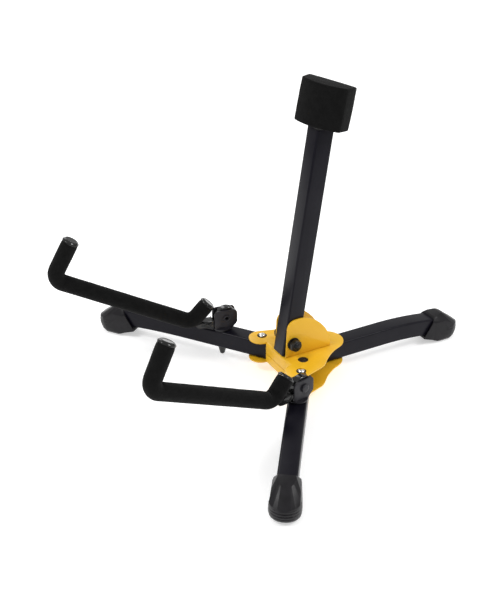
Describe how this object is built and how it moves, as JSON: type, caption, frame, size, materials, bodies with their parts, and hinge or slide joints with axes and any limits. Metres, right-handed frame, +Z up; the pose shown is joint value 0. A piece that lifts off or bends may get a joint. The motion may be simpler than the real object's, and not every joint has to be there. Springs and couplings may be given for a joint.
{
  "type": "folding guitar stand",
  "caption": "Low folding tripod floor stand for a guitar, with two foam-covered cradle arms, a foam back pad and a painted sheet-metal hub.",
  "frame": {"origin": "centre of the stand's bounding box at floor level", "axes": "+Z up from the floor, +Y towards the rear leg and the back pad, +X across, from the left arm to the right arm as seen by someone in front of the stand looking towards the back pad"},
  "size_m": [0.4694, 0.487, 0.3689],
  "materials": {
    "yellow_paint": "satin golden yellow powder coat",
    "black_enamel": "satin black enamel on steel tube",
    "chrome": "bright plated",
    "black_steel": "black oxide",
    "boot_rubber": "matte dark grey moulded rubber",
    "foam": "closed-cell foam, matte and slightly grainy",
    "gloss_plastic": "glossy black moulding",
    "nylon": "matte black nylon"
  },
  "bodies": {
    "hub": {"hub_top_shell": "yellow_paint", "hub_bottom_shell": "yellow_paint", "rear_leg_tube": "black_enamel", "rear_foot": "boot_rubber", "rear_leg_rivet_front": "chrome", "rear_leg_rivet_rear": "chrome", "backrest_bolt": "black_steel", "backrest_nut": "black_steel", "backrest_washer_right": "black_steel", "backrest_washer_left": "black_steel", "right_leg_rivet": "chrome", "left_leg_rivet": "chrome", "right_leg_washer_top": "nylon", "right_leg_washer_bottom": "nylon", "left_leg_washer_top": "nylon", "left_leg_washer_bottom": "nylon"},
    "backrest": {"backrest_tube": "black_enamel", "backrest_bush": "nylon", "pad_spigot": "nylon"},
    "back_pad": {"backrest_pad": "foam"},
    "right_leg": {"right_leg_tube": "black_enamel", "right_foot": "boot_rubber", "right_swivel_washer": "nylon", "right_swivel_bolt": "black_steel", "right_swivel_nut": "gloss_plastic"},
    "right_clevis": {"right_clevis": "gloss_plastic", "right_hinge_pin": "chrome"},
    "right_arm": {"right_arm_knuckle": "gloss_plastic", "right_arm_tube": "black_steel", "right_arm_foam": "foam", "right_arm_stub_cap": "gloss_plastic", "right_arm_tip_cap": "gloss_plastic"},
    "right_lock_button": {"right_lock_button": "nylon"},
    "left_leg": {"left_leg_tube": "black_enamel", "left_foot": "boot_rubber", "left_swivel_washer": "nylon", "left_swivel_bolt": "black_steel", "left_swivel_nut": "gloss_plastic"},
    "left_clevis": {"left_clevis": "gloss_plastic", "left_hinge_pin": "chrome"},
    "left_arm": {"left_arm_knuckle": "gloss_plastic", "left_arm_tube": "black_steel", "left_arm_foam": "foam", "left_arm_stub_cap": "gloss_plastic", "left_arm_tip_cap": "gloss_plastic"},
    "left_lock_button": {"left_lock_button": "nylon"}
  },
  "joints": [
    {"name": "right_leg_fold", "type": "hinge", "parent": "hub", "child": "right_leg", "pos_m": [0.046, -0.0108, 0.0277], "axis": [0, 0, 1], "range_deg": [0, 125.3]},
    {"name": "right_arm_swivel", "type": "hinge", "parent": "right_leg", "child": "right_clevis", "pos_m": [0.09007, -0.042, 0.04], "axis": [0, 0, 1], "range_deg": [-20, 42.7]},
    {"name": "right_arm_lift", "type": "hinge", "parent": "right_clevis", "child": "right_arm", "pos_m": [0.08924, -0.03809, 0.05515], "axis": [-0.9781, -0.2079, 0], "range_deg": [0, 115]},
    {"name": "right_lock_press", "type": "slide", "parent": "hub", "child": "right_lock_button", "axis": [0, 0, -1], "range_m": [0, 0.0025], "stiffness_N_per_m": 400, "springref_m": -0.0005},
    {"name": "left_leg_fold", "type": "hinge", "parent": "hub", "child": "left_leg", "pos_m": [-0.046, -0.0108, 0.0277], "axis": [0, 0, -1], "range_deg": [0, 125.3]},
    {"name": "left_arm_swivel", "type": "hinge", "parent": "left_leg", "child": "left_clevis", "pos_m": [-0.09007, -0.042, 0.04], "axis": [0, 0, -1], "range_deg": [-20, 42.7]},
    {"name": "left_arm_lift", "type": "hinge", "parent": "left_clevis", "child": "left_arm", "pos_m": [-0.08924, -0.03809, 0.05515], "axis": [-0.9781, 0.2079, 0], "range_deg": [0, 115]},
    {"name": "left_lock_press", "type": "slide", "parent": "hub", "child": "left_lock_button", "axis": [0, 0, -1], "range_m": [0, 0.0025], "stiffness_N_per_m": 400, "springref_m": -0.0005},
    {"name": "backrest_fold", "type": "hinge", "parent": "hub", "child": "backrest", "pos_m": [0, -0.0022, 0.0585], "axis": [-1, 0, 0], "range_deg": [0, 81.7]},
    {"name": "pad_turn", "type": "hinge", "parent": "backrest", "child": "back_pad", "pos_m": [0, 0.0361, 0.32072], "axis": [0, 0.1445, 0.9895], "range_deg": [-120, 60]}
  ]
}
